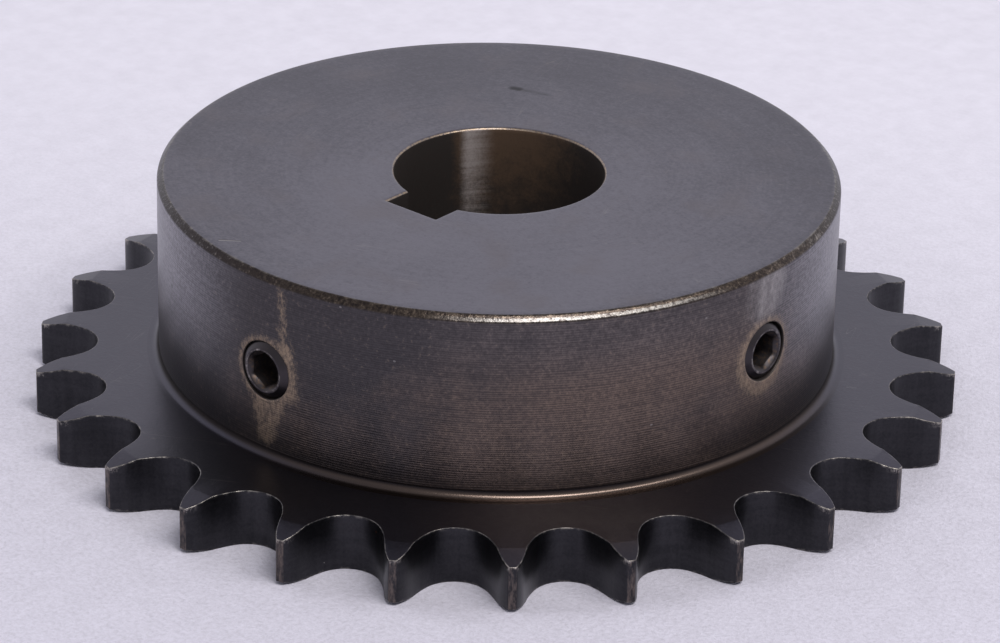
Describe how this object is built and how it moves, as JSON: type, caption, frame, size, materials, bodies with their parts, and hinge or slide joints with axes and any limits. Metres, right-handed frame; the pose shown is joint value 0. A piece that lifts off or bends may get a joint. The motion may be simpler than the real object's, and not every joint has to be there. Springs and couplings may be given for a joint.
{
  "type": "chain sprocket",
  "caption": "Roller chain sprocket with a hub on one side, a keyed bore and two socket set screws at right angles.",
  "frame": {"origin": "on the bore's axis in the plate's free face, on which the part lies", "axes": "+Z along the bore from the plate's free face to the hub's face; -Y through the keyway; +X through the second set screw"},
  "size_m": [0.1396, 0.1402, 0.0374],
  "materials": {
    "blackened_steel": "worn black oxide over turned steel, satin",
    "screw_steel": "black oxide, semi-gloss"
  },
  "bodies": {
    "root": {"sprocket": "blackened_steel", "keyway_set_screw": "screw_steel", "side_set_screw": "screw_steel"}
  },
  "joints": []
}
